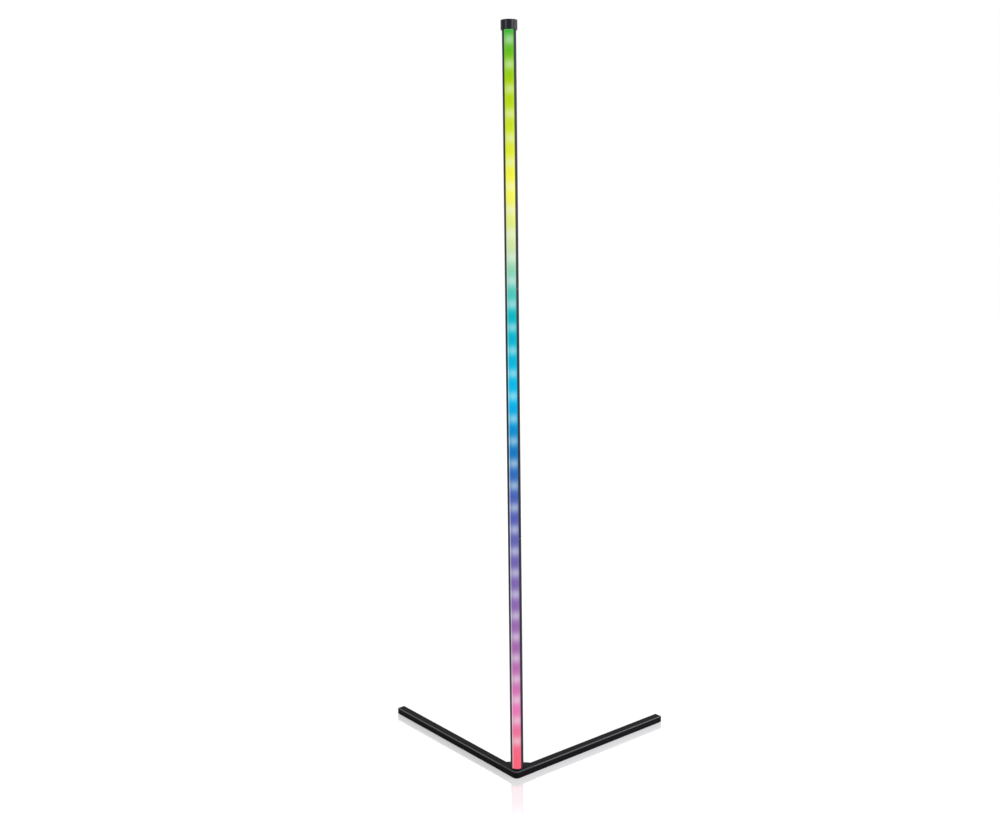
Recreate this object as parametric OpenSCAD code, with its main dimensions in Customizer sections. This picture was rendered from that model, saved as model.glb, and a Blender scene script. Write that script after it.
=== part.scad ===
// Corner floor lamp: a slim round pole, lit along its front, that stands on a V-shaped base.
// The origin is on the floor under the pole's axis. +Z is up. The lit face and the point
// of the V look towards -Y, and the two legs run away from it at 45 degrees to either side.

/* [Overall] */
// Height of the whole lamp, from the floor to the top of its cap
lamp_h = 1400; // [1000:10:1800]
// Length of each leg, from the sharp outer corner of the V to the leg's far end
leg_reach = 400; // [250:10:600]

/* [Pole] */
// Outside diameter of the pole
pole_d = 25; // [24:0.5:32]
// Wall of the pole's extrusion
pole_wall = 1.5; // [1.2:0.1:1.9]
// Half of the angle that the open front takes of the pole's round
slot_angle = 45; // [38:1:50]
// Thickness of the web across the pole that carries the LED strip
web_t = 1.5; // [1.2:0.1:2]
// How far the web's front face lies ahead of the pole's axis
web_ahead = 1; // [0.5:0.1:2.5]
// Length of the bar that joins two pole sections
joiner_l = 60; // [40:2:90]
// Distance of a joiner's screws from the seam of the two sections
joiner_screw = 18; // [10:1:18]
// Black stretch of the pole between the base and the lit front
foot_ring_h = 2.5; // [2:0.5:8]

/* [Diffuser] */
// Thickness of the diffuser's lit wall
diffuser_t = 1.5; // [1:0.1:2]
// Thickness of the diffuser's flanges behind the pole's lips
flange_t = 1; // [0.8:0.1:1.6]
// Angle that a flange reaches past the lip, and back from it
flange_angle = 7; // [5:0.5:9]

/* [LED strip] */
// LEDs on each metre of strip
leds_per_m = 24; // [12:1:60]
// Height of the first LED above the lower edge of the diffuser
led_first = 56.5; // [10:0.5:70]
// Side of an LED package
led_size = 5; // [3:0.5:6]
// Height of an LED package above the strip
led_t = 1.6; // [1:0.1:2]
// Diameter of the clear well in an LED package
led_well_d = 4; // [2:0.1:4.2]
// Depth of that well
led_well = 0.6; // [0.3:0.1:0.9]
// Width of the LED strip
strip_w = 10; // [8:0.5:12]
// Thickness of the LED strip
strip_t = 0.3; // [0.2:0.05:0.5]
// Space between the strip and each end of the open front
strip_end = 3; // [2:0.5:5]

/* [Top cap] */
// Height of the cap
cap_h = 17; // [12:0.5:30]
// Wall of the cap's skirt
cap_wall = 2.1; // [1.6:0.1:3]
// Thickness of the cap's top
cap_top_t = 2.5; // [2:0.1:4]
// Chamfer round the cap's top edge
cap_chamfer = 0.8; // [0.4:0.1:1.4]
// Depth of the cap's tongue inside the pole
cap_tongue = 14; // [12:0.5:30]

/* [Legs] */
// Width of a leg
leg_w = 17; // [14:0.5:20]
// Height of a leg's tube
leg_h = 13; // [13:0.5:18]
// Wall of a leg's tube
leg_wall = 1.5; // [1.2:0.1:2]
// Rounding of a leg's edges
leg_edge = 1; // [0.6:0.1:1.1]
// Thickness of the plate of a leg's end plug
end_plate = 2; // [1.5:0.1:4]
// Depth of a leg's end plug inside the tube
end_depth = 12; // [8:0.5:20]
// Length of the corner's tongue inside a leg
tongue_l = 40; // [34:1:60]

/* [Corner piece] */
// Metal between the pole and the outer faces of the V
pole_margin = 3; // [2.6:0.1:5]
// How far the corner piece stands above the legs
corner_rise = 1.5; // [1.2:0.1:3]
// Rounding of the V's point
corner_round = 9; // [6:0.5:12]
// Rounding of the corner piece's top edges
corner_edge = 2.4; // [1:0.1:2.4]
// Wall of the corner piece
corner_wall = 2.5; // [2:0.1:3]
// Thickness of the corner piece's top
corner_top_t = 2.5; // [2:0.1:2.8]
// Wall of the pole's socket
socket_wall = 2.25; // [1.8:0.05:2.5]
// Floor of the pole's socket
socket_floor = 4; // [3:0.1:4]
// Thickness of the bulkhead at the end of each arm
bulkhead = 4; // [3:0.5:6]
// Thickness of the cover plate under the corner piece
cover_t = 1.5; // [1.2:0.1:1.8]
// Ledge that the cover plate rests on
cover_ledge = 1.3; // [0.8:0.1:1.6]

/* [Pole plug] */
// Thickness of the plug's disc under the pole
plug_base = 3; // [3:0.1:4]
// Length of the plug's tongue inside the pole
plug_l = 40; // [34:1:60]
// Length of the bolts that hold the pole
bolt_l = 26; // [20:1:30]

/* [Feet] */
// Thickness of the rubber pads
pad_t = 1; // [0.8:0.1:3]
// Diameter of the pads under the legs
pad_d = 11; // [8:0.5:12]
// Diameter of the pad under the corner piece
corner_pad_d = 14; // [10:0.5:14]
// Distance of the outer pads from the end of a leg
pad_end = 15; // [10:1:40]

/* [Power inlet] */
// Length of the inlet, from the face of its flange to its terminals
inlet_len = 12.3; // [11:0.1:16]
// Diameter of the opening that takes the plug
inlet_bore_d = 6; // [5.6:0.1:6.2]
// Diameter of the centre pin
inlet_pin_d = 2.1; // [1.6:0.1:2.5]
// Depth of the opening
inlet_depth = 9.5; // [8:0.1:9.8]
// Diameter of the inlet's threaded barrel
inlet_thread_d = 7.8; // [7.6:0.1:8]
// Diameter of the inlet's flange
inlet_flange_d = 10.4; // [9.6:0.1:10.6]
// Thickness of the inlet's flange
inlet_flange_t = 1.5; // [1:0.1:2]
// Width across the flats of the inlet's nut
inlet_nut_w = 9.8; // [9.4:0.1:10]
// Thickness of the inlet's nut
inlet_nut_t = 2; // [1.5:0.1:3]
// Diameter of the two-core lead from the inlet to the control board
lead_d = 2.4; // [2:0.1:2.6]

/* [Control board] */
// Length of the control board
board_l = 70; // [60:1:90]
// Width of the control board
board_w = 15; // [13:0.5:16]
// Thickness of the control board
board_t = 1.2; // [0.8:0.1:1.6]
// Thickness of the foam tape that holds the control board
tape_t = 1; // [0.6:0.1:1.4]
// Space between the pole plug and the control board
board_gap = 12.5; // [8:0.5:30]

/* [Fits] */
// Clearance of parts that slide into each other
fit = 0.15; // [0.1:0.01:0.2]
// Clearance round a screw
screw_fit = 0.05; // [0.02:0.01:0.1]

/* [Hidden] */

$fn = 96;
// Facets of the rounded blends
blend_fn = 48;
// Steps of the quarter circle that rounds the corner piece's top
blend_steps = 4;
// How far a cut reaches past the face it opens
cut = 0.5;
// Small step that keeps two faces of one shape apart
eps = 0.01;
// Cosine of the legs' 45 degrees
k = sqrt(0.5);

black = "#17171a";
steel = "#a9acb0";
milky = "#f2f4f0";

// Pole: radii, web faces and heights. The seams are at whole tenths of a millimetre
pole_r = pole_d / 2;
chamber_r = pole_r - pole_wall;
web_front = -web_ahead;
web_back = web_front + web_t;
floor_z = pad_t + cover_t + socket_floor;
pole_z0 = floor_z + plug_base;
pole_z1 = lamp_h - cap_top_t;
third = (pole_z1 - pole_z0) / 3;
seams = [for (i = [1, 2]) round((pole_z0 + i * third) * 10) / 10];
// Angle that the fit takes at the pole's surface
lip_gap = fit / pole_r * 180 / PI;

// Base: heights of the legs, cover and corner piece
leg_z1 = pad_t + leg_h;
cover_z1 = pad_t + cover_t;
corner_z1 = leg_z1 + corner_rise;
cavity_z1 = corner_z1 - corner_top_t;
lit_z0 = corner_z1 + foot_ring_h;

// Base: plan. corner_y is the sharp outer corner, back_y the straight back edge, and
// inlet_room the space between the pole's socket and the inlet's terminals
socket_r = pole_r + fit;
pole_inset = pole_r + pole_margin;
corner_y = -pole_inset / k;
inlet_room = 0.6;
back_y = socket_r + inlet_room + inlet_len - inlet_flange_t;
arm_l = (back_y - corner_y) / k - leg_w;

// Screws: thread diameters, lengths and places
small_d = 3;
big_d = 4;
pole_screw_l = 6;
cover_screw_l = 4.5;
leg_screw_l = 7;
leg_screw_at = [9, 29];
plug_screw_turn = 36;
plug_screw_z = pole_z0 + plug_l - 9;
// Pole bolts: distance to either side of the axis, and their place behind the web
bolt_x = 5.5;
bolt_y = web_back + 3.5;
// Posts for the cover's screws: radius, and distance from the end of the arm
post_r = 3;
post_back = 12;
// Space between the corner's pad and the cover screw ahead of it
pad_gap = 0.5;

// Lead: its run up the pole behind the web, its bend, and the room round it in the plug
lead_y = web_back + 7;
lead_bend = 4;
channel_r = lead_d / 2 + 0.8;
notch_w = lead_d + 1;

// Top cap
cap_z0 = lamp_h - cap_h;
cap_r = pole_r + fit + cap_wall;
cap_screw_z = (cap_z0 + pole_z1) / 2;
cap_screw_l = cap_wall + pole_screw_l;

// LED strip and its parts
led_pitch = 1000 / leds_per_m;
led_z0 = lit_z0 + led_first;
strip_z0 = lit_z0 + strip_end;
strip_z1 = pole_z1 - strip_end;
led_n = floor((strip_z1 - led_z0 - led_size) / led_pitch) + 1;
led_y = web_front - strip_t;
led_rim = 0.4;
well_d = min(led_well_d, led_size - 2 * led_rim);
capacitor = [1.6, 0.8, 0.8];
capacitor_gap = 1.5;
receiver = [5.4, 2.6, 4.6];
receiver_z = (strip_z0 + led_z0) / 2;
lens_d = 3.4;

// Control board: board_y is its face towards the web, parts_y the face with the parts.
// The window lets the connector through the web, from the board to the strip
board_y = web_back + tape_t;
parts_y = board_y + board_t;
board_z0 = pole_z0 + plug_l + board_gap;
window = [9, 5];
window_z = board_z0 + board_l - 6;
tape_in = 1;
socket_size = [6, 6.4, 8];
coil = [5, 2.6, 5];
regulator = [3.2, 0.9, 2.5];
resistor = [1.6, 0.5, 0.8];
resistor_x = 6;
can_r = 2.2;
can_h = 4.5;
chip = [7, 1.4, 7];
chip_leg = 0.4;
chip_leg_pitch = 1;

// Places of the board's parts, above its lower edge
cans_at = [[-3, 16], [3, 16], [0, 26]];
coil_z = board_z0 + 31;
resistors_z = [for (row = [0 : 3]) board_z0 + 34 + 6 * row];
chip_z = board_z0 + 44;
regulator_z = board_z0 + 51;

// Power inlet: terminals, contact spring with the room beside it, and the pin's tip
inlet_z = (cover_z1 + cavity_z1) / 2;
inlet_face_y = back_y + inlet_flange_t;
inlet_end_y = inlet_face_y - inlet_len;
inlet_floor_y = inlet_face_y - inlet_depth;
terminal_l = 0.6;
terminal_r = 0.6;
spring_w = 1.2;
spring_t = 0.3;
spring_l = inlet_len - inlet_depth + 5;
spring_z0 = inlet_z - inlet_bore_d / 2 - spring_t;
spring_room = 0.1;
pin_tip = 1;

// Place of a point in plan: t along the right leg's outer face, s in from that face
function at(t, s) = [(t - s) * k, (t + s) * k + corner_y];
function flip(p) = [-p[0], p[1]];
// Radius of a countersunk head
function head_r(d) = 0.93 * d;
// Distance of a small screw's face from the axis of a round that it is sunk in
function sunk(r) = sqrt(r * r - pow(head_r(small_d), 2)) - 0.03;

// ---- Shared shapes

// Wedge in plan that opens towards -Y, past the pole's round
module wedge(angle) {
    far = 2 * pole_r;
    polygon([[0, 0], [-far * tan(angle), -far], [far * tan(angle), -far]]);
}

module ring(outer, inner) {
    difference() {
        circle(outer);
        circle(inner);
    }
}

// Countersunk screw: its face is at z = 0 and its tip at z = l
module screw(d, l) {
    head_h = head_r(d) - d / 2;
    slot_l = 1.1 * d;
    slot_w = 0.22 * d;
    difference() {
        union() {
            cylinder(h = head_h, r1 = head_r(d), r2 = d / 2);
            cylinder(h = l, d = d);
        }
        for (turn = [0, 90])
            rotate([0, 0, turn])
                translate([-slot_l / 2, -slot_w / 2, -cut])
                    cube([slot_l, slot_w, cut + head_h * 0.6]);
    }
}

// The room that a countersunk screw takes, open above its head
module screw_hole(d, l) {
    head_h = head_r(d) - d / 2;
    cylinder(h = head_h, r1 = head_r(d) + screw_fit, r2 = d / 2 + screw_fit);
    cylinder(h = l + screw_fit, d = d + 2 * screw_fit);
    translate([0, 0, -cut])
        cylinder(h = cut + eps, r = head_r(d) + screw_fit);
}

// Puts a screw into a round of radius r, pointing at its axis
module radial(r, z, turn = 0) {
    rotate([0, 0, turn])
        translate([0, sunk(r), z])
            rotate([90, 0, 0])
                children();
}

// Bar that fills the pole's chamber behind the web
module chamber_bar(l) {
    linear_extrude(l)
        intersection() {
            circle(chamber_r - fit);
            translate([-pole_r, web_back + fit])
                square([pole_d, pole_r]);
        }
}

// Puts a leg's own shape in place: x along the leg, y in from its outer face
module leg_side(side) {
    mirror([side < 0 ? 1 : 0, 0, 0])
        translate([0, corner_y, 0])
            rotate([0, 0, 45])
                children();
}

// Upright oblong with rounded corners, lying along x
module rounded_bar(l, y0, z0, w, h, r) {
    translate([0, y0, z0])
        rotate([90, 0, 90])
            linear_extrude(l) {
                translate([r, 0])
                    square([w - 2 * r, h]);
                translate([0, r])
                    square([w, h - 2 * r]);
                for (x = [r, w - r], y = [r, h - r])
                    translate([x, y])
                        circle(r);
            }
}

// ---- Pole

module pole_profile() {
    difference() {
        ring(pole_r, chamber_r);
        wedge(slot_angle);
    }
    intersection() {
        circle(chamber_r + pole_wall / 2);
        translate([-pole_r, web_front])
            square([pole_d, web_t]);
    }
}

module pole_section(z0, z1) {
    translate([0, 0, z0])
        linear_extrude(z1 - z0)
            pole_profile();
}

module at_plug_screws() {
    for (turn = [-plug_screw_turn, plug_screw_turn])
        radial(pole_r, plug_screw_z, turn)
            children();
}

module pole_lower() {
    color(black)
        difference() {
            pole_section(pole_z0, seams[0]);
            radial(pole_r, seams[0] - joiner_screw)
                screw_hole(small_d, pole_screw_l);
            at_plug_screws()
                screw_hole(small_d, pole_screw_l);
            translate([-window[0] / 2, web_front - cut, window_z - window[1] / 2])
                cube([window[0], web_t + 2 * cut, window[1]]);
        }
}

module pole_middle() {
    color(black)
        difference() {
            pole_section(seams[0], seams[1]);
            for (z = [seams[0] + joiner_screw, seams[1] - joiner_screw])
                radial(pole_r, z)
                    screw_hole(small_d, pole_screw_l);
        }
}

module pole_upper() {
    color(black)
        difference() {
            pole_section(seams[1], pole_z1);
            radial(pole_r, seams[1] + joiner_screw)
                screw_hole(small_d, pole_screw_l);
            radial(cap_r, cap_screw_z)
                screw_hole(small_d, cap_screw_l);
        }
}

module joiner(seam) {
    color(steel)
        difference() {
            translate([0, 0, seam - joiner_l / 2])
                chamber_bar(joiner_l);
            for (z = [seam - joiner_screw, seam + joiner_screw])
                radial(pole_r, z)
                    screw_hole(small_d, pole_screw_l);
        }
}

module joiner_lower() { joiner(seams[0]); }
module joiner_upper() { joiner(seams[1]); }

module joiner_screws() {
    color(black)
        for (seam = seams, side = [-1, 1])
            radial(pole_r, seam + side * joiner_screw)
                screw(small_d, pole_screw_l);
}

// ---- Diffuser: one soft extrusion, pressed into the open front of all three sections

module diffuser_profile() {
    inner = chamber_r - fit;
    intersection() {
        ring(pole_r, pole_r - diffuser_t);
        wedge(slot_angle - lip_gap);
    }
    difference() {
        intersection() {
            ring(pole_r - diffuser_t / 2, inner - flange_t);
            wedge(slot_angle - lip_gap);
        }
        wedge(slot_angle - flange_angle);
    }
    difference() {
        intersection() {
            ring(inner, inner - flange_t);
            wedge(slot_angle + flange_angle);
        }
        wedge(slot_angle - flange_angle);
    }
}

module diffuser() {
    color(milky)
        translate([0, 0, lit_z0])
            linear_extrude(pole_z1 - lit_z0)
                diffuser_profile();
}

// ---- LED strip

module led_strip() {
    color("white")
        translate([-strip_w / 2, led_y, strip_z0])
            cube([strip_w, strip_t, strip_z1 - strip_z0]);
}

module at_leds() {
    for (i = [0 : led_n - 1])
        translate([0, led_y, led_z0 + i * led_pitch])
            children();
}

module led_packages() {
    color("white")
        at_leds()
            difference() {
                translate([-led_size / 2, -led_t, -led_size / 2])
                    cube([led_size, led_t, led_size]);
                translate([0, -led_t + led_well, 0])
                    rotate([90, 0, 0])
                        cylinder(h = led_well + cut, d = well_d);
            }
}

module led_wells() {
    color("gold")
        at_leds()
            translate([0, -led_t + led_well, 0])
                rotate([90, 0, 0])
                    cylinder(h = led_well, d = well_d);
}

module strip_capacitors() {
    color("tan")
        at_leds()
            translate([-capacitor[0] / 2, -capacitor[1], led_size / 2 + capacitor_gap])
                cube(capacitor);
}

module ir_receiver() {
    color("#202024")
        translate([0, led_y, receiver_z]) {
            translate([-receiver[0] / 2, -receiver[1], -receiver[2] / 2])
                cube(receiver);
            translate([0, -receiver[1], 0])
                sphere(d = lens_d);
        }
}

module strip_connector() {
    gap = 2 * fit;
    color("ivory")
        translate([-window[0] / 2 + gap / 2, web_front, window_z - window[1] / 2 + gap / 2])
            cube([window[0] - gap, board_y - web_front, window[1] - gap]);
}

// ---- Top cap

module top_cap() {
    color(black)
        difference() {
            union() {
                rotate_extrude()
                    polygon([
                        [pole_r + fit, cap_z0], [cap_r, cap_z0], [cap_r, lamp_h - cap_chamfer],
                        [cap_r - cap_chamfer, lamp_h], [0, lamp_h], [0, pole_z1],
                        [pole_r + fit, pole_z1]
                    ]);
                translate([0, 0, pole_z1 - cap_tongue])
                    chamber_bar(cap_tongue + cap_top_t / 2);
            }
            radial(cap_r, cap_screw_z)
                screw_hole(small_d, cap_screw_l);
        }
}

module cap_screw() {
    color(black)
        radial(cap_r, cap_screw_z)
            screw(small_d, cap_screw_l);
}

// ---- Plug in the pole's foot: it takes the bolts and carries the lead up behind the web

module plug_front() {
    difference() {
        intersection() {
            circle(pole_r);
            translate([-pole_r, -pole_r - cut])
                square([pole_d, pole_r + cut + web_front - fit]);
        }
        difference() {
            ring(pole_r + cut, chamber_r - fit);
            wedge(slot_angle - lip_gap);
        }
    }
}

module pole_plug() {
    color(black)
        difference() {
            union() {
                translate([0, 0, floor_z])
                    cylinder(h = plug_base, r = pole_r);
                translate([0, 0, pole_z0])
                    linear_extrude(lit_z0 - pole_z0)
                        plug_front();
                translate([0, 0, pole_z0])
                    chamber_bar(plug_l);
            }
            at_bolts()
                screw_hole(big_d, bolt_l);
            at_plug_screws()
                screw_hole(small_d, pole_screw_l);
            translate([0, lead_y, floor_z - cut])
                cylinder(h = plug_base + plug_l + 2 * cut, r = channel_r);
            translate([-notch_w / 2, lead_y, floor_z - cut])
                cube([notch_w, pole_r, inlet_z + lead_bend + channel_r - floor_z + cut]);
        }
}

module plug_screws() {
    color(black)
        at_plug_screws()
            screw(small_d, pole_screw_l);
}

module at_bolts() {
    for (side = [-1, 1])
        translate([side * bolt_x, bolt_y, cover_z1 + screw_fit])
            children();
}

module pole_bolts() {
    color(steel)
        at_bolts()
            screw(big_d, bolt_l);
}

// ---- Corner piece: a casting with the pole's socket, and a tongue for each leg

// Plan of the corner piece, drawn in by d at the outer faces, e at the ends, b at the back
module corner_plan(d = 0, e = 0, b = 0) {
    end_s = (back_y - b - corner_y) / k - (arm_l - e);
    side = [at(corner_round, d), at(arm_l - e, d), at(arm_l - e, end_s)];
    polygon(concat(side, [for (i = [2 : -1 : 0]) flip(side[i])]));
    translate(at(corner_round, corner_round))
        circle(corner_round - d);
}

// Block with its top edges rounded: each layer is drawn in by a step of a quarter circle
module corner_block() {
    hull()
        for (i = [0 : blend_steps]) {
            a = 90 * i / blend_steps;
            in = corner_edge * (1 - cos(a));
            translate([0, 0, pad_t])
                linear_extrude(corner_z1 - pad_t - corner_edge * (1 - sin(a)), $fn = blend_fn)
                    corner_plan(in, min(in, corner_rise), in);
        }
}

module leg_tongue(side) {
    root = bulkhead / 2;
    leg_side(side)
        translate([arm_l - root, leg_wall + fit, pad_t + leg_wall + fit])
            cube([tongue_l + root, leg_w - 2 * (leg_wall + fit), leg_h - 2 * (leg_wall + fit)]);
}

module at_posts() {
    for (side = [-1, 1])
        leg_side(side)
            translate([arm_l - post_back, leg_w / 2, 0])
                children();
}

module at_cover_screws() {
    translate([0, 0, pad_t]) {
        at_posts()
            children();
        translate([0, -(corner_pad_d / 2 + head_r(small_d) + pad_gap), 0])
            children();
    }
}

module corner_piece() {
    color(black)
        difference() {
            union() {
                difference() {
                    corner_block();
                    translate([0, 0, pad_t - cut])
                        linear_extrude(cut + cavity_z1 - pad_t)
                            corner_plan(corner_wall, bulkhead, corner_wall);
                    translate([0, 0, pad_t - cut])
                        linear_extrude(cut + cover_t)
                            corner_plan(corner_wall - cover_ledge, corner_wall - cover_ledge,
                                corner_wall - cover_ledge);
                }
                translate([0, 0, cover_z1])
                    cylinder(h = cavity_z1 + corner_top_t / 2 - cover_z1, r = socket_r + socket_wall);
                translate([0, 0, cover_z1])
                    at_posts()
                        cylinder(h = cavity_z1 + corner_top_t / 2 - cover_z1, r = post_r);
                leg_tongue(-1);
                leg_tongue(1);
            }
            translate([0, 0, floor_z])
                cylinder(h = lamp_h, r = socket_r);
            at_bolts()
                screw_hole(big_d, bolt_l);
            at_cover_screws()
                screw_hole(small_d, cover_screw_l);
            at_leg_screws()
                screw_hole(big_d, leg_screw_l);
            on_inlet(socket_r - 1)
                cylinder(h = back_y, d = inlet_thread_d + 2 * fit);
        }
}

module corner_cover() {
    in = corner_wall - cover_ledge + fit;
    color(steel)
        difference() {
            translate([0, 0, pad_t])
                linear_extrude(cover_t)
                    corner_plan(in, in, in);
            at_cover_screws()
                screw_hole(small_d, cover_screw_l);
        }
}

module cover_screws() {
    color(steel)
        at_cover_screws()
            screw(small_d, cover_screw_l);
}

// ---- Legs

module at_leg_screws() {
    for (side = [-1, 1])
        leg_side(side)
            for (t = leg_screw_at)
                translate([arm_l + t, leg_w / 2, pad_t])
                    children();
}

module leg(side) {
    tube_l = leg_reach - end_plate - arm_l;
    color(black)
        difference() {
            leg_side(side)
                translate([arm_l, 0, 0])
                    difference() {
                        rounded_bar(tube_l, 0, pad_t, leg_w, leg_h, leg_edge);
                        translate([-cut, leg_wall, pad_t + leg_wall])
                            cube([tube_l + 2 * cut, leg_w - 2 * leg_wall, leg_h - 2 * leg_wall]);
                    }
            at_leg_screws()
                screw_hole(big_d, leg_screw_l);
        }
}

module leg_left() { leg(-1); }
module leg_right() { leg(1); }

module leg_screws() {
    color(steel)
        at_leg_screws()
            screw(big_d, leg_screw_l);
}

module leg_plug(side) {
    in = leg_wall + fit;
    color(black)
        leg_side(side) {
            translate([leg_reach - end_plate, 0, 0])
                rounded_bar(end_plate, 0, pad_t, leg_w, leg_h, leg_edge);
            translate([leg_reach - end_plate - end_depth, in, pad_t + in])
                cube([end_depth + end_plate / 2, leg_w - 2 * in, leg_h - 2 * in]);
        }
}

module leg_plug_left() { leg_plug(-1); }
module leg_plug_right() { leg_plug(1); }

module rubber_pads() {
    color("#101012") {
        cylinder(h = pad_t, d = corner_pad_d);
        for (side = [-1, 1])
            leg_side(side)
                for (t = [(arm_l + leg_reach) / 2, leg_reach - pad_end])
                    translate([t, leg_w / 2, 0])
                        cylinder(h = pad_t, d = pad_d);
    }
}

// ---- Power inlet in the back edge of the corner piece

// Puts a shape that is drawn along z onto the inlet's axis, with z = 0 at y
module on_inlet(y) {
    translate([0, y, inlet_z])
        rotate([-90, 0, 0])
            children();
}

module inlet_body() {
    color("#202024")
        difference() {
            union() {
                on_inlet(back_y)
                    cylinder(h = inlet_flange_t, d = inlet_flange_d);
                on_inlet(inlet_end_y + terminal_l)
                    cylinder(h = inlet_len - terminal_l - eps, d = inlet_thread_d);
            }
            on_inlet(inlet_floor_y)
                cylinder(h = inlet_depth + cut, d = inlet_bore_d);
            on_inlet(inlet_end_y)
                cylinder(h = inlet_len - inlet_depth + cut, r = terminal_r + screw_fit);
            translate([-spring_w / 2 - spring_room, inlet_end_y, spring_z0])
                cube([spring_w + 2 * spring_room, spring_l + spring_room, spring_t + spring_room]);
        }
}

module inlet_pin() {
    color("#c9ccd0") {
        on_inlet(inlet_floor_y)
            cylinder(h = inlet_depth - pin_tip, d = inlet_pin_d);
        on_inlet(inlet_end_y)
            cylinder(h = inlet_len - inlet_depth + eps, r = terminal_r);
    }
}

module inlet_spring() {
    color("#c9ccd0")
        translate([-spring_w / 2, inlet_end_y, spring_z0])
            cube([spring_w, spring_l, spring_t]);
}

module inlet_nut() {
    color("#b9a15a")
        difference() {
            on_inlet(back_y - corner_wall - inlet_nut_t)
                cylinder(h = inlet_nut_t, d = inlet_nut_w / cos(30), $fn = 6);
            on_inlet(back_y - corner_wall - inlet_nut_t - cut)
                cylinder(h = inlet_nut_t + 2 * cut, d = inlet_thread_d + 2 * screw_fit);
        }
}

// ---- Lead and control board in the lower pole section, behind the web

module power_lead() {
    bend_y = lead_y + lead_bend;
    color("#1c1c20") {
        translate([0, bend_y, inlet_z])
            rotate([-90, 0, 0])
                cylinder(h = inlet_end_y - bend_y, d = lead_d);
        translate([0, bend_y, inlet_z + lead_bend])
            rotate([90, 0, 90])
                rotate([0, 0, 180])
                    rotate_extrude(angle = 90)
                        translate([lead_bend, 0])
                            circle(d = lead_d);
        translate([0, lead_y, inlet_z + lead_bend])
            cylinder(h = board_z0 - inlet_z - lead_bend, d = lead_d);
    }
}

module lead_socket() {
    color("ivory")
        translate([-socket_size[0] / 2, parts_y, board_z0])
            cube(socket_size);
}

module control_board() {
    color("#1f5a36")
        translate([-board_w / 2, board_y, board_z0])
            cube([board_w, board_t, board_l]);
}

module board_tape() {
    color("#e8e8e6")
        translate([-board_w / 2 + tape_in, web_back, board_z0])
            cube([board_w - 2 * tape_in, tape_t, window_z - window[1] - board_z0]);
}

module control_chip() {
    color("#26262a") {
        translate([-chip[0] / 2, parts_y, chip_z - chip[2] / 2])
            cube(chip);
        for (turn = [0, 90], i = [-2 : 2])
            translate([0, parts_y, chip_z])
                rotate([0, turn, 0])
                    translate([-chip[0] / 2 - 1, 0, i * chip_leg_pitch - chip_leg / 2])
                        cube([chip[0] + 2, chip_leg, chip_leg]);
    }
}

module board_capacitors() {
    color("#8f9296")
        for (p = cans_at)
            translate([p[0], parts_y, board_z0 + p[1]])
                rotate([-90, 0, 0])
                    cylinder(h = can_h, r = can_r);
}

module board_parts() {
    color("#3a3a3e") {
        translate([-coil[0] / 2, parts_y, coil_z])
            cube(coil);
        translate([-regulator[0] / 2, parts_y, regulator_z])
            cube(regulator);
        for (side = [-1, 1], z = resistors_z)
            translate([side * resistor_x - resistor[0] / 2, parts_y, z])
                cube(resistor);
    }
}

pole_lower();
pole_middle();
pole_upper();
joiner_lower();
joiner_upper();
joiner_screws();
diffuser();
led_strip();
led_packages();
led_wells();
strip_capacitors();
ir_receiver();
strip_connector();
top_cap();
cap_screw();
pole_plug();
plug_screws();
pole_bolts();
corner_piece();
corner_cover();
cover_screws();
leg_left();
leg_right();
leg_screws();
leg_plug_left();
leg_plug_right();
rubber_pads();
inlet_body();
inlet_pin();
inlet_spring();
inlet_nut();
power_lead();
lead_socket();
control_board();
board_tape();
control_chip();
board_capacitors();
board_parts();
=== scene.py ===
# %% [markdown]
# # A corner floor lamp
# The real lamp is a slim black pole, open along its front, with a milky diffuser pressed into the
# opening. Coloured light runs down the diffuser in slow bands, and each LED behind it shows as a
# paler spot. The pole stands in a black V-shaped base whose legs follow the two walls of a corner.
# Every part has its true size and place in the packed model. This lesson loads that model, gives
# each part its finish, and models again the few parts whose edges catch the light.

# %% Load the packed model
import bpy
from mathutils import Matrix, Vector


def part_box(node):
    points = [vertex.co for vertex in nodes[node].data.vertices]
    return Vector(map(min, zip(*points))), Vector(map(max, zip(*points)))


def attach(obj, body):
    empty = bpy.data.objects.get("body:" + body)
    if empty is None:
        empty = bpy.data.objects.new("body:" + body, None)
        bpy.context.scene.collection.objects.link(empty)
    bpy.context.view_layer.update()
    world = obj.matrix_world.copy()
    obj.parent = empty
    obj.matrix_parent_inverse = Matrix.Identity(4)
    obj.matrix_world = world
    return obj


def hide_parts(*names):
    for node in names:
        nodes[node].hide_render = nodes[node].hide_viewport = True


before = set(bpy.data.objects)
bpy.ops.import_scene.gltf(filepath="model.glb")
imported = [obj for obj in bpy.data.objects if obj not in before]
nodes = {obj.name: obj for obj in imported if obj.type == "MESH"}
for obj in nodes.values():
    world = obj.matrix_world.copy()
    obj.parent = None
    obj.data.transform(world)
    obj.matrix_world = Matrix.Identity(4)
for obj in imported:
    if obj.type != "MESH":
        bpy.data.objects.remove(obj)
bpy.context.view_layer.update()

import math

import bmesh
import bpy
from mathutils import Matrix, Vector

# %% [markdown]
# ## The camera
# The picture was taken from about two metres away, a little above the middle of the pole, with a
# moderate lens. The camera is turned in three steps, as a photographer would do it: first to the
# side, then down, then a slight tilt. A product of rotation matrices says exactly that, and is
# easier to correct than three mixed Euler angles.

# %% The camera
CAMERA_PLACE = (0.20317, -2.13904, 1.07332)
CAMERA_TURN, CAMERA_DOWN, CAMERA_TILT = 6.07, 9.54, -0.7386
CAMERA_LENS = 42.84


def turned(degrees, axis):
    return Matrix.Rotation(math.radians(degrees), 4, axis)


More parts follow.
